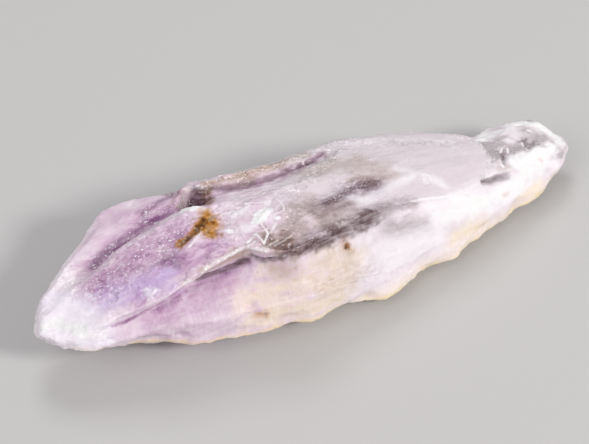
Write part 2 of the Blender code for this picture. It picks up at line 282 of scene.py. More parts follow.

# Zones of each kind of quartz and of painted shade, glints and glow, as (line, radius in millimetres,
# strength, share of the radius that fades)
ZONES = {
    "violet": (
        (VALLEY, 1.8, 0.9, 1.0),
        (VALLEY, 3.4, 0.5, 1.0),
        (VALLEY_TOP, 1.0, 0.9, 0.9),
        # Painted shade along the crease, in violet
        (CREASE, 0.22, 0.8, 0.8),
        (CREASE_SHADE, 1.1, 0.9, 1.0),
        (FLANK_VIOLET, 1.9, 0.5, 1.0),
        (FLANK_PINK, 2.6, 0.25, 1.0),
        (LEFT_BODY, 3.4, 0.75, 1.0),
        (LEFT_BODY_LOW, 2.8, 0.8, 1.0),
        (BODY_RIGHT, 2.2, 0.75, 1.0),
        (DARK_TRIANGLE, 1.1, 1.0, 1.0),
        (PALE_FACE, 2.8, 0.36, 1.0),
        (LEDGE_GROOVE, 0.8, 0.5, 1.0),
        (DARK_PATCH, 2.4, 0.3, 1.0),
        # Painted shade in the pit
        (PIT_DARK, 0.8, 0.6, 0.8),
        (BACK_DARK, 1.1, 0.8, 1.0),
        # Painted shade along the crease's right end
        (CREASE_RIGHT, 0.9, 0.8, 0.9),
    ),
    "blue": (
        (BLUE_LILAC, 1.9, 0.6, 1.0),
        (HEEL_WHITE, 2.2, 0.5, 1.0),
        (HEEL_END, 1.8, 0.45, 1.0),
    ),
    # Painted shade: dark painted over clearer quartz, and shade painted into the crease, the grooves, the pit
    # and the slot
    "painted_shade": (
        (DARK_BAND, 1.1, 0.9, 0.8),
        (BODY_GREY, 2.2, 0.3, 1.0),
        (DARK_TOP, 1.3, 0.55, 1.0),
        (DARK_TAIL, 1.0, 0.5, 1.0),
        (DARK_PATCH, 1.4, 0.8, 1.0),
        (DARK_PATCH_END, 1.3, 0.5, 1.0),
        (DARK_PATCH_LOW, 1.8, 0.5, 1.0),
        (DARK_LOW, 1.4, 0.4, 1.0),
        (HATCH, 1.3, 0.7, 1.0),
        (CREASE_RIGHT, 0.45, 0.85, 0.9),
        (CREASE_END, 0.5, 0.75, 0.9),
        (BACK_DARK, 0.8, 0.4, 1.0),
        (LEDGE_GROOVE, 0.6, 0.65, 1.0),
        (VALLEY_TOP, 0.6, 0.3, 0.9),
        (PIT_DARK, 0.7, 0.9, 0.5),
        (SLOT, 0.55, 0.7, 0.9),
        (TIP_PATCH, 0.55, 0.55, 1.0),
        (TIP_LENS, 0.5, 0.5, 0.9),
        (TIP_END, 0.4, 0.4, 1.0),
        (TIP_BAND, 0.4, 0.3, 1.0),
        (DARK_TRIANGLE, 0.7, 0.2, 1.0),
    ),
    "stain": (
        (STAIN_BLOB, 1.15, 1.0, 0.7),
        (STAIN_CORNER, 1.1, 0.8, 0.9),
        (STAIN_STREAK, 0.7, 0.95, 0.7),
        (PIT_BROWN, 0.8, 0.8, 0.9),
        (BROWN_SPOT, 0.6, 0.9, 0.8),
        (SPOT_HALO, 0.9, 0.3, 1.0),
        (OCHRE_EDGE, 0.6, 0.55, 1.0),
    ),
    "rust": (
        (STAIN_STREAK, 0.5, 0.8, 1.0),
        (PIT_BROWN, 0.8, 1.0, 0.5),
        (BROWN_SPOT, 0.45, 0.8, 0.9),
    ),
    "tan": (
        (LIP, 0.6, 0.6, 1.0),
        (LIP_UNDERSIDE, 0.7, 0.85, 1.0),
        (LEDGE_TAN, 1.0, 0.85, 1.0),
        (PIT_FACET, 0.9, 0.6, 0.7),
        (TAN_PATCH, 1.2, 0.6, 1.0),
        (CREAM_PATCH, 2.0, 0.3, 1.0),
        (BODY_GREY, 2.4, 0.45, 1.0),
        (HATCH, 1.5, 1.0, 1.0),
        (GREY_PINK, 2.6, 0.5, 1.0),
        (GREY_CENTRE, 1.6, 0.1, 1.0),
        (DARK_PATCH_RIM, 0.8, 0.55, 1.0),
        (DARK_PATCH_LOW, 1.5, 0.3, 1.0),
        (STAIN_CORNER, 1.4, 0.4, 1.0),
        (ZIGZAG, 0.5, 0.4, 1.0),
        (ZIGZAG_TWO, 0.4, 0.4, 1.0),
        (SLOT_TRIANGLE, 0.4, 0.4, 0.8),
    ),
    "cream": (
        (CREAM_LOW, 2.3, 0.7, 1.0),
        (CREAM_EDGE, 1.9, 0.8, 1.0),
        (CREAM_MIDDLE, 1.2, 0.5, 1.0),
        (CREAM_RIGHT, 1.6, 0.9, 1.0),
        (CREAM_TIP, 1.4, 0.85, 1.0),
        (CREAM_PATCH, 2.2, 0.75, 1.0),
        (OCHRE_EDGE, 1.2, 0.6, 1.0),
        (TIP_RIM, 0.6, 0.3, 1.0),
    ),
    # White frosted quartz, with painted highlights and glints in a few places
    "frost_and_glints": (
        (HEEL_END, 2.0, 0.85, 1.0),
        (HEEL_WHITE, 1.9, 0.65, 1.0),
        (CREST_VEIL, 1.6, 0.6, 1.0),
        (RING_CENTRE, 0.6, 0.6, 1.0),
        # Painted highlight on the facet beside the pit
        (PIT_FACET, 0.7, 0.35, 0.8),
        (WHITE_LIP, 0.4, 1.0, 0.5),
        # Painted highlight on the bright lens
        (BRIGHT_LENS, 0.65, 1.0, 0.35),
        (LENS_TAIL, 0.7, 0.45, 1.0),
        (SLOT_EDGE, 0.25, 0.5, 0.7),
        (TIP_MILK, 1.1, 0.9, 1.0),
        (LENS_LEFT, 0.6, 0.6, 1.0),
        (WHITE_DOTS, 0.25, 0.9, 0.6),
        (RING_BEAD, 0.25, 1.0, 0.5),
        (THIN_LINE, 0.14, 0.7, 0.6),
        (WHITE_FLOW, 0.8, 0.6, 1.0),
        (WHITE_WISP, 0.6, 0.55, 1.0),
        (WHITE_LOW, 2.2, 0.55, 1.0),
        (WHITE_TIP, 1.7, 0.85, 0.9),
        (WHITE_TIP_TOP, 1.0, 1.0, 0.7),
        (LIP, 0.3, 0.6, 1.0),
        # Painted glints along the upper crest
        (UPPER_CREST, 0.3, 0.15, 1.0),
        (PIT_RIM, 0.3, 0.35, 1.0),
        (BACK_EDGE, 0.5, 0.35, 1.0),
        (TIP_RIM, 1.0, 0.95, 0.9),
        (STEP_LINE, 0.2, 0.35, 0.7),
        # Painted glints on the sparkle knot
        (SPARKLE_KNOT, 0.4, 0.5, 0.9),
        (ZIGZAG, 0.13, 0.9, 0.7),
        (ZIGZAG_TWO, 0.12, 0.8, 0.7),
        (STAIN_LINE, 0.10, 0.7, 0.6),
    ),
    "rough": (
        (UPPER_CREST, 1.0, 0.6, 1.0),
        (BACK_DARK, 0.9, 0.9, 1.0),
        (LIP, 0.5, 0.8, 1.0),
        (RIDGE_SPARKLE, 0.8, 1.0, 0.8),
        (TOP_SPARKLE, 1.2, 0.6, 1.0),
        (CREST_MIDDLE, 0.4, 0.3, 0.8),
        (VALLEY, 1.1, 0.8, 0.8),
        (VALLEY_TOP, 0.6, 0.8, 0.9),
        (HEEL_END, 1.2, 0.4, 0.9),
        (LEFT_BODY, 2.6, 0.7, 1.0),
        (ZIGZAG, 1.2, 0.4, 0.9),
        (GREY_CENTRE, 1.6, 0.4, 1.0),
        (SPARKLE_KNOT, 0.6, 1.0, 0.8),
        (LEDGE_TAN, 0.9, 0.6, 0.9),
        (DARK_PATCH, 1.2, 0.5, 1.0),
        (STEP_LINE, 0.5, 0.9, 0.8),
    ),
    "clear": (
        (GREY_CENTRE, 2.4, 0.1, 1.0),
    ),
    "calm": (
        (PALE_FACE, 3.2, 1.0, 0.6),
        (HEEL_WHITE, 2.6, 0.7, 0.8),
    ),
}
ZONES["frost_and_glints"] += tuple((line, 0.11, 0.6, 0.7) for line in RING_LINES)
ZONES["frost_and_glints"] += tuple((line, 0.10, 0.5, 0.6) for line in HATCH_LINES)
ZONES["frost_and_glints"] += tuple((line, 0.12, 1.0, 0.5) for line in TIP_BARS)
ZONES["painted_shade"] += tuple((line, 0.2, 0.25, 0.8) for line in TIP_ARCS)
ZONES["painted_shade"] += tuple((line, 0.35, 0.7, 1.0) for line in SLOT_DARKS)
ZONES["stain"] += tuple((line, 0.35, 0.25, 1.0) for line in CREAM_SPOTS)

# Noise, as (size along X, Y and Z in millimetres, seed, layers): two kinds for all zones, and the veils
RAGGED = ((1.6, 0.8, 0.8), 11, 4)
FINE = ((0.5, 0.3, 0.3), 23, 3)
VEILS = ((2.6, 0.8, 0.8), 61, 2)

# How far the shared noise shifts a border: a zone's in radii, a groove's in half widths,
# the others in millimetres
ZONE_RAGGED = 0.35
ZONE_FINE = 0.2
GROOVE_FINE = 0.15
RIM_RAGGED = 0.2
TIP_RAGGED = 0.6
TIP_FRONT_RAGGED = 0.4
RING_RAGGED = 0.1

# How far the clear tip's border shifts towards the heel at the front, in millimetres
TIP_SLANT = 0.5

# Violet of the blunt half, and how even, ragged and fine all of the violet is
BODY_VIOLET = 0.28
VIOLET_EVEN = 0.85
VIOLET_RAGGED = 0.4
VIOLET_FINE = 0.25

# Painted warm glow of the thin edge, calm of the right half, and clearness of the tip, the quartz under
# painted shade and the right top
EDGE_GLOW_CREAM = 0.7
RIGHT_CALM = 0.75
TIP_CLEAR = 0.6
SHADE_CLEAR = 0.15
TOP_CLEAR = 0.2

# Where noise makes a veil in the tip, the frost of a veil, and the clearness that veils and frost take away
VEIL_FROM = (-0.1, 0.7)
VEIL_FROST = 0.4
VEIL_DULLS = 0.35
FROST_DULLS = 0.9

# Chips of four sizes, as (size along X, Y and Z, height, seed, share where smooth, share lost where calm)
CHIPS = {
    "large": ((3.4, 1.5, 1.5), 0.10, 101, 1.0, 0.6),
    "middle": ((1.5, 0.8, 0.8), 0.07, 202, 1.0, 0.8),
    "small": ((0.7, 0.4, 0.4), 0.06, 303, 0.35, 0.85),
    "tiny": ((0.35, 0.25, 0.25), 0.05, 404, 0.1, 0.85),
}
CHIP_BEND = 0.3

# Gentle waves of the whole surface, and the share that clear quartz loses
WAVE_HEIGHT = 0.05
WAVE_LOST = 0.7

# Etched plates, their greatest step, and how far in from a chip's border a plate reaches its own height
PLATES = (GREY_CENTRE, 3.0, 1.0, 0.8)
PLATE_HEIGHT = 0.10
PLATE_BORDER = (0.0, 0.25)

# Scoops and larger scallops of the front edge and the tip, with the distance from a cell's middle
# at which the surface stays where it is
SCOOP_HEIGHT = 0.15
SCOOP_LEVEL = 0.45
SCALLOP_SIZE = (2.2, 2.0, 2.0)
SCALLOP_SEED = 606
SCALLOP_HEIGHT = 0.50
SCALLOP_LEVEL = 0.5
TIP_SCALLOPS = 0.6

# Growth lines across the steep sides
GROWTH_SIZE = (0.32, 20 / 3, 20 / 3)
GROWTH_SEED = 505
GROWTH_HEIGHT = 0.03

# Rings round a point of the top
RING_SPACING = 0.45
RING_HEIGHT = 0.035
RING_REACH = (2.0, 0.4)


# Noise and chips

# Numbers that mix the bits of a cell's place, and how many of the mixed bits make one random number
MIX_SHIFT = np.uint64(33)
MIX_FIRST = np.uint64(0xFF51AFD7ED558CCD)
MIX_SECOND = np.uint64(0xC4CEB9FE1A85EC53)
SPREAD_X = np.uint64(73856093)
SPREAD_Y = np.uint64(19349663)
WORD_BITS = 64
RANDOM_BITS = 24

# Brings gradient noise up to about -1 to 1
NOISE_GAIN = 1.5

# For each point: height of its cell's plane, distance to the cell's middle and border,
# and the cell's own random number
Cells = namedtuple("Cells", "plane middle border luck")


def scramble(values):
    """Mixes the bits of unsigned integers, so that neighbours come out unlike."""
    values = (values ^ (values >> MIX_SHIFT)) * MIX_FIRST
    values = (values ^ (values >> MIX_SHIFT)) * MIX_SECOND
    return values ^ (values >> MIX_SHIFT)


def lattice_random(cells, seed, count):
    """For each whole-numbered cell, count even random numbers from 0 to 1."""
    x, y, z = (cells[:, i].astype(np.int64).astype(np.uint64) for i in range(3))
    key = scramble(y * SPREAD_Y ^ scramble(z + np.uint64(seed)))
    key = scramble(x * SPREAD_X ^ key)
    columns = []
    for k in range(count):
        key = scramble(key + np.uint64(k + 1))
        columns.append((key >> np.uint64(WORD_BITS - RANDOM_BITS)).astype(float) / float(1 << RANDOM_BITS))
    return np.stack(columns, axis=1)


def smooth_noise(points, size, seed):
    """Gradient noise from about -1 to 1, with features of the given size along X, Y and Z."""
    scaled = points / np.asarray(size, float)
    base = np.floor(scaled)
    part = scaled - base
    fade = part * part * part * (part * (part * 6 - 15) + 10)
    total = np.zeros(len(points))
    for corner in np.ndindex(2, 2, 2):
        corner = np.array(corner)
        gradient = lattice_random(base + corner, seed, 3) * 2 - 1
        weight = np.prod(np.where(corner, fade, 1 - fade), axis=1)
        total += weight * np.sum(gradient * (part - corner), axis=1)
    return total * NOISE_GAIN


def rough_noise(points, size, seed, layers):
    """Several layers of noise, each half the size and half the height of the one before."""
    total = np.zeros(len(points))
    for k in range(layers):
        total += smooth_noise(points, np.asarray(size, float) / 2**k, seed + k) / 2**k
    return total


def chips(points, size, seed):
    """Splits space into uneven cells, each with a tilted plane of its own, measured in cell sizes."""
    scaled = points / np.asarray(size, float)
    base = np.floor(scaled)
    nearest = np.full(len(points), np.inf)
    second = np.full(len(points), np.inf)
    height = np.zeros(len(points))
    luck = np.zeros(len(points))
    for offset in np.ndindex(3, 3, 3):
        cell = base + np.array(offset) - 1
        drawn = lattice_random(cell, seed, 7)
        away = scaled - (cell + drawn[:, :3])
        distance = np.sqrt(np.sum(away * away, axis=1))
        plane = np.sum(away * (drawn[:, 3:6] * 2 - 1), axis=1)
        closer = distance < nearest
        second = np.where(closer, nearest, np.minimum(second, distance))
        nearest = np.where(closer, distance, nearest)
        height = np.where(closer, plane, height)
        luck = np.where(closer, drawn[:, 6], luck)
    return Cells(height, nearest, second - nearest, luck)


# Lines and zones


def direction(turn, height):
    """Unit vector towards something at a turn from the front and a height angle, both in degrees."""
    a, e = math.radians(turn), math.radians(height)
    return Vector((math.sin(a) * math.cos(e), -math.cos(a) * math.cos(e), math.sin(e)))


def packed_surface():
    """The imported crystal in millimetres, ready to be met by rays."""
    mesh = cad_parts[CRYSTAL].data
    return BVHTree.FromPolygons([v.co / MM for v in mesh.vertices], [p.vertices for p in mesh.polygons])


def on_crystal(surface, pixels):
    """Where the lines of sight through pixels of the photograph's frame meet the crystal, in millimetres."""
    back = direction(CAMERA_TURN, CAMERA_HEIGHT)
    right = Vector((0, 0, 1)).cross(back).normalized()
    up = back.cross(right)
    eye = Vector(CAMERA_AIM) + back * CAMERA_DISTANCE
    focal = CAMERA_LENS / CAMERA_SENSOR * PHOTO_WIDTH
    places = []
    for across, down in pixels:
        sight = right * (across - PHOTO_WIDTH / 2) + up * (PHOTO_HEIGHT / 2 - down) - back * focal
        place = surface.ray_cast(eye, sight.normalized())[0]
        if place is not None:
            places.append(place)
    return np.array(places, float).reshape(-1, 3)


def distance_to(points, line):
    """Distance from each point to a line of straight runs."""
    nearest = np.linalg.norm(points - line[0], axis=1)
    for a, b in zip(line, line[1:]):
        run = b - a
        share = np.clip((points - a) @ run / (run @ run), 0, 1)
        nearest = np.minimum(nearest, np.linalg.norm(points - a - share[:, None] * run, axis=1))
    return nearest


def step(values, low, high):
    """0 below low, 1 above high and a smooth rise between. Low above high turns it round."""
    t = np.clip((values - low) / (high - low), 0, 1)
    return t * t * (3 - 2 * t)


class Surface:
    """Points of the fine surface in millimetres, with their normals and the noise that all zones share."""

    def __init__(self, points, normals):
        self.points = points
        self.normals = normals
        self.packed = packed_surface()
        self.ragged = rough_noise(points, *RAGGED)
        self.fine = rough_noise(points, *FINE)

    def away_from(self, line):
        """Distance from each point to a line given in pixels."""
        return distance_to(self.points, on_crystal(self.packed, line))

    def off_rim(self):
        """How far above or below the front edge's rim each point is."""
        return np.abs(self.points[:, 2] - np.interp(self.points[:, 0], RIM_PLACES, RIM_HEIGHTS))

    def zone(self, line, radius, strength, soft):
        """Full strength along a line, falling to 0 at a radius, with an uneven border."""
        distance = self.away_from(line) + (ZONE_RAGGED * self.ragged + ZONE_FINE * self.fine) * radius
        return strength * step(distance, radius, radius * (1 - soft))

    def groove(self, line, half_width, depth):
        """Height of a groove along a line, or of a ridge where the depth is below 0."""
        distance = self.away_from(line) + self.fine * half_width * GROOVE_FINE
        beads = 1
        if half_width < BEADED_BELOW:
            beads = np.clip(1 + BEAD_SWELL * self.fine, BEAD_LEAST, BEAD_MOST)
        return -depth * beads * np.clip(1 - distance / half_width, 0, 1) ** GROOVE_CURVE


def quartz_marks(s):
    """How much of each kind of quartz, and of painted shade, glints and glow, there is at each point, from 0
    to 1.
    """
    p, n = s.points, s.normals
    x, y, z = p.T
    marks = {name: np.maximum.reduce([s.zone(*zone) for zone in zones]) for name, zones in ZONES.items()}
    blunt_half = step(x, *VIOLET_FROM) * step(x, *VIOLET_TO)
    marks["violet"] = np.maximum(marks["violet"], BODY_VIOLET * blunt_half)
    marks["violet"] *= VIOLET_EVEN + VIOLET_RAGGED * s.ragged + VIOLET_FINE * s.fine
    # Painted glow: the thin front edge is painted cream for the warm light it lets through, and its very rim
    # golden
    thin_edge = step(z, *THIN_EDGE_BELOW) * step(y, *THIN_EDGE_FRONT) * step(x, *THIN_EDGE_ALONG)
    marks["cream"] = np.maximum(marks["cream"], EDGE_GLOW_CREAM * thin_edge)
    near_rim = step(s.off_rim() + RIM_RAGGED * s.ragged, *RIM_NEAR)
    marks["rim"] = near_rim * step(y, *RIM_FRONT) * step(x, *RIM_ALONG)
    # The tip is clear behind the step that crosses the top, and veils run through it
    slant = TIP_SLANT * step(y, *CLEAR_TIP_SLANT)
    behind_step = step(x + TIP_RAGGED * s.ragged + slant, *CLEAR_TIP_FROM)
    off_flank = step(y + TIP_FRONT_RAGGED * s.ragged, *CLEAR_TIP_BEHIND) * step(n[:, 1], *FACES_NOT_FRONT)
    window = behind_step * off_flank
    veils = step(rough_noise(p, *VEILS), *VEIL_FROM)
    marks["frost_and_glints"] = np.maximum(marks["frost_and_glints"], VEIL_FROST * window * veils)
    marks["clear"] = np.maximum.reduce([
        marks["clear"],
        window * (TIP_CLEAR - VEIL_DULLS * veils),
        SHADE_CLEAR * marks["painted_shade"],
        TOP_CLEAR * step(x, *GLASSY_TOP_FROM) * step(n[:, 2], *FACES_UP),
    ])
    marks["clear"] *= 1 - FROST_DULLS * marks["frost_and_glints"]
    marks["flank"] = step(-n[:, 1], *FACES_FRONT) * step(x, *FLANK_FROM) * step(x, *FLANK_TO)
    marks["calm"] = np.maximum.reduce([marks["calm"], RIGHT_CALM * step(x, *CALM_FROM), marks["flank"]])
    return {name: np.clip(values, 0, 1) for name, values in marks.items()}


def relief(s, marks):
    """How far each point of the surface moves along its normal."""
    p, n = s.points, s.normals
    height = np.zeros(len(p))
    # Noise bends the chips' borders, and along Y each point takes the noise of the point before it
    bent = p + CHIP_BEND * np.stack([s.ragged, np.roll(s.ragged, 1), s.fine], axis=1)
    cells = {}
    for name, (size, tall, seed, smooth, lost) in CHIPS.items():
        cells[name] = chips(bent, size, seed)
        where = (smooth + (1 - smooth) * marks["rough"]) * (1 - lost * marks["calm"])
        height += tall * cells[name].plane * where
    height += WAVE_HEIGHT * s.ragged * (1 - WAVE_LOST * marks["clear"])
    # Etched plates in the middle of the top, each at a height of its own
    plates = s.zone(*PLATES) * step(cells["small"].border, *PLATE_BORDER)
    height += PLATE_HEIGHT * plates * (cells["middle"].luck - 0.5)
    # Scoops and scallops along the thin front edge and round the tip
    edge = step(s.off_rim(), *SCALLOPS_NEAR_RIM) * step(p[:, 1], *SCALLOPS_FRONT)
    edge = np.maximum(edge, TIP_SCALLOPS * step(p[:, 0], *SCALLOPS_AT_TIP))
    scallops = chips(p, SCALLOP_SIZE, SCALLOP_SEED)
    height += SCOOP_HEIGHT * edge * (cells["middle"].middle - SCOOP_LEVEL)
    height += SCALLOP_HEIGHT * edge * (scallops.middle - SCALLOP_LEVEL)
    # Growth lines across the front flank, the back wall and the underside
    across = smooth_noise(p, GROWTH_SIZE, GROWTH_SEED)
    steep = step(-n[:, 1], *STEEP_FRONT) + step(n[:, 1], *STEEP_BACK) + step(-n[:, 2], *UNDERSIDE)
    height += GROWTH_HEIGHT * np.abs(across) * np.clip(steep, 0, 1)
    for groove in GROOVES:
        height += s.groove(*groove)
    from_middle = s.away_from(RING_CENTRE) + RING_RAGGED * s.ragged
    rings = np.cos(from_middle * 2 * math.pi / RING_SPACING)
    height += RING_HEIGHT * rings * step(from_middle, *RING_REACH)
    # The resting face stays flat
    return height * step(p[:, 2], *ABOVE_REST)


# The fine surface


def read_vectors(collection, name):
    """One vector of each item of a mesh collection, as rows of numbers."""
    values = np.zeros(len(collection) * 3, np.float32)
    collection.foreach_get(name, values)
    return values.reshape(-1, 3).astype(float)


def evaluated_mesh(obj, name):
    """The object's mesh with its modifiers applied, after which the object is removed."""
    bpy.context.view_layer.update()
    mesh = bpy.data.meshes.new_from_object(obj.evaluated_get(bpy.context.evaluated_depsgraph_get()))
    mesh.name = name
    bpy.data.objects.remove(obj)
    return mesh


def linked_object(name, data):
    obj = bpy.data.objects.new(name, data)
    bpy.context.scene.collection.objects.link(obj)
    return obj


def fine_copy():
    """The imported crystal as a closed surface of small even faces, in millimetres."""
    bm = bmesh.new()
    bm.from_mesh(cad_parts[CRYSTAL].data)
    bmesh.ops.remove_doubles(bm, verts=bm.verts, dist=WELD)
    bmesh.ops.scale(bm, vec=(1 / MM,) * 3, verts=bm.verts)
    coarse = bpy.data.meshes.new("coarse")
    bm.to_mesh(coarse)
    bm.free()
    copy = linked_object("coarse", coarse)
    remesh = copy.modifiers.new("even faces", "REMESH")
    remesh.mode = "VOXEL"
    remesh.voxel_size = VOXEL
    smooth = copy.modifiers.new("softer", "SMOOTH")
    smooth.factor = SMOOTHING
    smooth.iterations = SMOOTHINGS
    return evaluated_mesh(copy, "fine")


def fewer_faces(mesh):
    """Joins the flattest faces until few enough are left."""
    triangles = 2 * len(mesh.polygons)
    copy = linked_object("too fine", mesh)
    decimate = copy.modifiers.new("fewer", "DECIMATE")
    decimate.ratio = min(1.0, MOST_TRIANGLES / triangles)
    return evaluated_mesh(copy, "etched_crystal")


def crystal_surface():
    """Builds the etched crystal and marks its points."""
    mesh = fine_copy()
    surface = Surface(read_vectors(mesh.vertices, "co"), read_vectors(mesh.vertex_normals, "vector"))
    marks = quartz_marks(surface)
    moved = surface.points + surface.normals * relief(surface, marks)[:, None]
    moved[:, 2] = np.maximum(moved[:, 2], 0)
    mesh.vertices.foreach_set("co", (moved * MM).astype(np.float32).ravel())
    for name, values in marks.items():
        attribute = mesh.attributes.new(name, "FLOAT", "POINT")
        attribute.data.foreach_set("value", values.astype(np.float32))
    mesh = fewer_faces(mesh)
    mesh.shade_smooth()
    mesh.materials.clear()
    mesh.materials.append(quartz_material())
    crystal = linked_object("etched_crystal", mesh)
    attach(crystal, "root")
    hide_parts(CRYSTAL)


# Materials


class Nodes:
    """Short ways to add and link the nodes of one material."""

    def __init__(self, name):
        self.material = bpy.data.materials.new(name)
        self.material.use_nodes = True
        self.tree = self.material.node_tree
        self.shader = self.tree.nodes["Principled BSDF"]

    def add(self, kind, **settings):
        node = self.tree.nodes.new(kind)
        for name, value in settings.items():
            setattr(node, name, value)
        return node

    def put(self, target, value):
        """Links a socket, or sets a plain value."""
        if isinstance(value, bpy.types.NodeSocket):
            self.tree.links.new(value, target)
        else:
            target.default_value = value

    def mark(self, name):
        return self.add("ShaderNodeAttribute", attribute_name=name).outputs["Fac"]

    def math(self, operation, a, b=0.0, c=0.0, clamp=False):
        node = self.add("ShaderNodeMath", operation=operation, use_clamp=clamp)
        for socket, value in zip(node.inputs, (a, b, c)):
            self.put(socket, value)
        return node.outputs[0]

    def vector(self, operation, a, b):
        node = self.add("ShaderNodeVectorMath", operation=operation)
        self.put(node.inputs[0], a)
        self.put(node.inputs[1], b)
        return node.outputs["Value" if operation == "DOT_PRODUCT" else "Vector"]

    def between(self, value, low, high, to_low=0.0, to_high=1.0):
        node = self.add("ShaderNodeMapRange", interpolation_type="SMOOTHSTEP")
        self.put(node.inputs["Value"], value)
        for name, number in (("From Min", low), ("From Max", high), ("To Min", to_low), ("To Max", to_high)):
            self.put(node.inputs[name], number)
        return node.outputs["Result"]

    def uneven(self, mark, noise, low, high, thin, thick):
        """A mark made patchy: thin where the noise is low, thick where it is high."""
        return self.math("MULTIPLY", self.mark(mark), self.between(noise, low, high, thin, thick), clamp=True)

    def mix(self, share, a, b):
        """Colour a where the share is 0, colour b where it is 1."""
        node = self.add("ShaderNodeMix", data_type="RGBA")
        self.put(node.inputs[0], share)
        self.put(node.inputs[6], a)
        self.put(node.inputs[7], b)
        return node.outputs[2]

    def place(self, size):
        """Object coordinates counted in steps of the given size, in millimetres along X, Y and Z."""
        mapping = self.add("ShaderNodeMapping")
        self.put(mapping.inputs["Vector"], self.add("ShaderNodeTexCoord").outputs["Object"])
        mapping.inputs["Scale"].default_value = [1 / MM / s for s in size]
        return mapping.outputs["Vector"]

    def pattern(self, name):
        """Noise of one of the named patterns."""
        size, detail, distortion = PATTERNS[name]
        node = self.add("ShaderNodeTexNoise")
        self.put(node.inputs["Vector"], self.place(size))
        node.inputs["Scale"].default_value = 1.0
        node.inputs["Detail"].default_value = detail
        node.inputs["Distortion"].default_value = distortion
        return node.outputs["Fac"]

    def facets(self, size):
        """Height of small planes, each tilted its own way."""
        place = self.place(size)
        cells = self.add("ShaderNodeTexVoronoi")
        self.put(cells.inputs["Vector"], place)
        cells.inputs["Scale"].default_value = 1.0
        away = self.vector("SUBTRACT", place, cells.outputs["Position"])
        tilt = self.vector("SUBTRACT", cells.outputs["Color"], (0.5, 0.5, 0.5))
        return self.vector("DOT_PRODUCT", away, tilt)


MILK = (0.85, 0.76, 0.82, 1)
LAVENDER = (0.62, 0.42, 0.58, 1)
VIOLET = (0.33, 0.14, 0.31, 1)
BLUE = (0.70, 0.58, 0.88, 1)
# Painted shade, nearly black
SHADE_DARK = (0.13, 0.07, 0.08, 1)
TAN = (0.48, 0.34, 0.27, 1)
CREAM = (0.90, 0.77, 0.62, 1)
# Painted golden glow of the rim
RIM_GLOW_AMBER = (0.96, 0.76, 0.48, 1)
# Frosted white, also used for painted glints
FROST_AND_GLINT = (0.96, 0.93, 0.98, 1)
GOLD = (0.52, 0.23, 0.03, 1)
RUST = (0.15, 0.055, 0.012, 1)
CLEAR = (0.92, 0.86, 0.87, 1)
ABSORBED = (0.80, 0.75, 0.79, 1)

# Patterns of noise, as (size in millimetres along X, Y and Z, detail, distortion)
PATTERNS = {
    "cloud": ((1.8, 0.9, 0.9), 4.0, 0.0),
    "wisps": ((2.6, 0.45, 0.45), 4.0, 1.5),
    "grain": ((0.5, 0.22, 0.22), 3.0, 0.0),
    "streaks": ((2.4, 0.25, 0.25), 4.0, 0.0),
    "combed": ((0.2, 1.6, 1.6), 3.0, 0.0),
    "specks": ((0.24, 0.17, 0.17), 2.0, 0.0),
    "rust spots": ((0.5, 0.35, 0.35), 2.0, 0.0),
}
FLAKE_SIZE = (0.30, 0.22, 0.22)

# Tints laid over the violet in turn, among them painted shade, glints and glow: mark, pattern, where the
# pattern is low and high, strength there, colour
TINTS = (
    ("blue", "cloud", (0.3, 0.7), (0.8, 1.1), BLUE),
    ("cream", "cloud", (0.35, 0.65), (0.75, 1.05), CREAM),
    ("tan", "grain", (0.3, 0.65), (0.7, 1.1), TAN),
    ("flank", "combed", (0.45, 0.75), (0.0, 0.2), FROST_AND_GLINT),
    # Painted shade over clearer quartz and in the hollows
    ("painted_shade", "streaks", (0.35, 0.6), (0.75, 1.1), SHADE_DARK),
    # Frosted white, with painted highlights
    ("frost_and_glints", "cloud", (0.3, 0.6), (0.85, 1.05), FROST_AND_GLINT),
    # Painted golden glow along the rim
    ("rim", "cloud", (0.3, 0.6), (0.35, 0.85), RIM_GLOW_AMBER),
)

# As (low, high, strength at low, strength at high): violet by the cloud, milky wisps, painted glints as white
# flecks, clear quartz by its painted shade, stains by the cloud, and rust spots in the stains
VIOLET_PATCHES = (0.3, 0.7, 0.75, 1.25)
WISPS_FROM = (0.5, 0.7, 0.0, 0.3)
GLINTS_FROM = (0.60, 0.65, 0.0, 1.3)
CLEAR_BY_SHADE = (0.0, 0.6, 0.8, 0.0)
STAIN_PATCHES = (0.3, 0.6, 0.9, 1.15)
RUST_FROM = (0.5, 0.65, 0.0, 0.7)

# Strengths of the violet between which lavender comes in first, and then full violet
LAVENDER_FROM = (0.0, 0.5)
VIOLET_DEEPENS = (0.4, 1.0)

# Depth of the grain and the flakes in millimetres, and their strength: the flakes' is least where the
# quartz is smooth, and the gain comes on top where it is rough
GRAIN_DEPTH = 0.03
GRAIN_STRENGTH = 0.4
FLAKE_DEPTH = 0.25
FLAKES_LEAST = 0.05
FLAKES_GAIN = 0.9

# Roughness of bare quartz, what the grain and each mark add to it, and its least
ROUGHNESS = 0.10
GRAIN_ROUGHNESS = 0.2
MARK_ROUGHNESS = {"frost_and_glints": 0.3, "calm": 0.22, "rough": -0.1, "clear": -0.2}
LEAST_ROUGHNESS = 0.04

# How quartz passes, reflects, scatters and absorbs light: depth in millimetres, density per metre
TRANSMISSION = 0.95
QUARTZ_IOR = 1.544
SPECULAR_LEVEL = 0.3
SCATTER_DEPTH = 0.45
ABSORPTION = 90.0


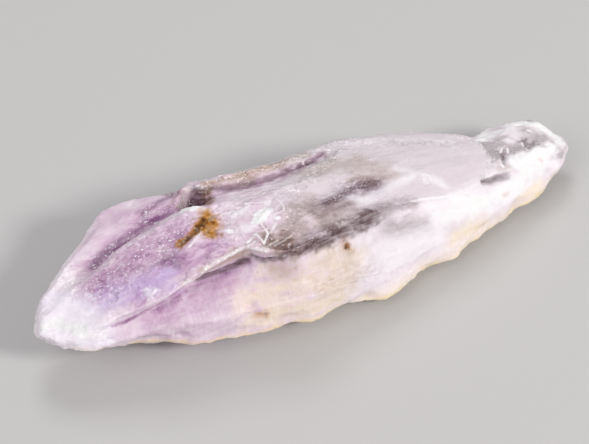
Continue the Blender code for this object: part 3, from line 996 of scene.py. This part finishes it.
def quartz_colour(n):
    """Milky quartz, tinted by each of the marks in turn, with painted shade, glints and glow among them."""
    patterns = {name: n.pattern(name) for name in PATTERNS}
    violet = n.uneven("violet", patterns["cloud"], *VIOLET_PATCHES)
    colour = n.mix(n.between(violet, *LAVENDER_FROM), MILK, LAVENDER)
    colour = n.mix(n.between(violet, *VIOLET_DEEPENS), colour, VIOLET)
    colour = n.mix(n.between(patterns["wisps"], *WISPS_FROM), colour, MILK)
    for mark, pattern, spans, strengths, tint in TINTS:
        colour = n.mix(n.uneven(mark, patterns[pattern], *spans, *strengths), colour, tint)
    # Painted glints: white specks where the quartz is rough
    colour = n.mix(n.uneven("rough", patterns["specks"], *GLINTS_FROM), colour, FROST_AND_GLINT)
    see_through = n.math("MULTIPLY", n.mark("clear"), n.between(n.mark("painted_shade"), *CLEAR_BY_SHADE))
    colour = n.mix(see_through, colour, CLEAR)
    # Iron stains lie over everything else
    dark = n.math("ADD", n.mark("rust"), n.between(patterns["rust spots"], *RUST_FROM), clamp=True)
    return n.mix(n.uneven("stain", patterns["cloud"], *STAIN_PATCHES), colour, n.mix(dark, GOLD, RUST))


def quartz_bumps(n):
    """Fine grain, and over it small tilted flakes where the surface is rough."""
    grain_bump = n.add("ShaderNodeBump")
    grain_bump.inputs["Distance"].default_value = GRAIN_DEPTH * MM
    grain_bump.inputs["Strength"].default_value = GRAIN_STRENGTH
    n.put(grain_bump.inputs["Height"], n.pattern("grain"))
    flake_bump = n.add("ShaderNodeBump")
    flake_bump.inputs["Distance"].default_value = FLAKE_DEPTH * MM
    n.put(flake_bump.inputs["Strength"], n.math("MULTIPLY_ADD", n.mark("rough"), FLAKES_GAIN, FLAKES_LEAST))
    n.put(flake_bump.inputs["Height"], n.facets(FLAKE_SIZE))
    n.put(flake_bump.inputs["Normal"], grain_bump.outputs["Normal"])
    return flake_bump.outputs["Normal"]


def quartz_roughness(n):
    """Frosted and calm quartz is duller, rough and clear quartz is glossier."""
    total = n.math("MULTIPLY_ADD", n.pattern("grain"), GRAIN_ROUGHNESS, ROUGHNESS)
    for mark, share in MARK_ROUGHNESS.items():
        total = n.math("MULTIPLY_ADD", n.mark(mark), share, total)
    return n.math("MAXIMUM", total, LEAST_ROUGHNESS)


def quartz_material():
    """Milky quartz that scatters light inside, and lets it through where it is marked clear."""
    n = Nodes("quartz")
    shader = n.shader
    n.put(shader.inputs["Base Color"], quartz_colour(n))
    n.put(shader.inputs["Roughness"], quartz_roughness(n))
    n.put(shader.inputs["Transmission Weight"], n.math("MULTIPLY", n.mark("clear"), TRANSMISSION))
    shader.inputs["IOR"].default_value = QUARTZ_IOR
    shader.inputs["Specular IOR Level"].default_value = SPECULAR_LEVEL
    shader.inputs["Subsurface Weight"].default_value = 1.0
    shader.inputs["Subsurface Radius"].default_value = (1.0, 1.0, 1.0)
    shader.inputs["Subsurface Scale"].default_value = SCATTER_DEPTH * MM
    n.put(shader.inputs["Normal"], quartz_bumps(n))
    absorb = n.add("ShaderNodeVolumeAbsorption")
    absorb.inputs["Color"].default_value = ABSORBED
    absorb.inputs["Density"].default_value = ABSORPTION
    n.put(n.tree.nodes["Material Output"].inputs["Volume"], absorb.outputs[0])
    return n.material


def floor_material():
    n = Nodes("pale floor")
    n.shader.inputs["Base Color"].default_value = FLOOR_COLOUR
    n.shader.inputs["Roughness"].default_value = FLOOR_ROUGHNESS
    return n.material


# Stage

# Floor: width in metres, depth below the crystal in millimetres, colour and roughness
FLOOR_WIDTH = 4.0
FLOOR_BELOW = 0.02
FLOOR_COLOUR = (0.55, 0.54, 0.54, 1)
FLOOR_ROUGHNESS = 0.7

# Nearest and farthest that the camera sees, in metres
SEEN_FROM = 1 * MM
SEEN_TO = 10.0

# Lights: name, turn and height angle in degrees, distance and width in metres, power in watts and colour
WHITE = (1.0, 1.0, 1.0)
LIGHTS = (
    ("key light", 30, 35, 0.40, 0.09, 0.95, (1.0, 0.985, 0.96)),
    ("fill light", -75, 40, 0.45, 0.30, 0.45, WHITE),
    ("back light", 165, 50, 0.45, 0.20, 0.55, WHITE),
)
STUDIO_STRENGTH = 0.38


def make_floor():
    bpy.ops.mesh.primitive_plane_add(size=FLOOR_WIDTH, location=(0, 0, -FLOOR_BELOW * MM))
    floor = bpy.context.object
    floor.name = "floor"
    floor.data.materials.append(floor_material())


def look_from(obj, place, aim):
    """Puts a camera or light at a place and turns it to an aim."""
    obj.location = place
    obj.rotation_mode = "QUATERNION"
    obj.rotation_quaternion = (Vector(place) - Vector(aim)).to_track_quat("Z", "Y")


def make_camera():
    camera = linked_object("camera", bpy.data.cameras.new("camera"))
    camera.data.lens = CAMERA_LENS
    camera.data.sensor_width = CAMERA_SENSOR
    camera.data.clip_start = SEEN_FROM
    camera.data.clip_end = SEEN_TO
    aim = Vector(CAMERA_AIM) * MM
    look_from(camera, aim + direction(CAMERA_TURN, CAMERA_HEIGHT) * CAMERA_DISTANCE * MM, aim)
    bpy.context.scene.camera = camera


def area_light(name, turn, height, distance, size, power, colour):
    light = bpy.data.lights.new(name, "AREA")
    light.shape = "DISK"
    light.size = size
    light.energy = power
    light.color = colour
    look_from(linked_object(name, light), direction(turn, height) * distance, (0, 0, 0))


def make_light():
    for light in LIGHTS:
        area_light(*light)
    world = bpy.data.worlds.new("studio")
    world.use_nodes = True
    background = world.node_tree.nodes["Background"]
    background.inputs["Color"].default_value = (*WHITE, 1)
    background.inputs["Strength"].default_value = STUDIO_STRENGTH
    bpy.context.scene.world = world
    bpy.context.scene.view_settings.view_transform = "Standard"


make_camera()
crystal_surface()
make_floor()
make_light()
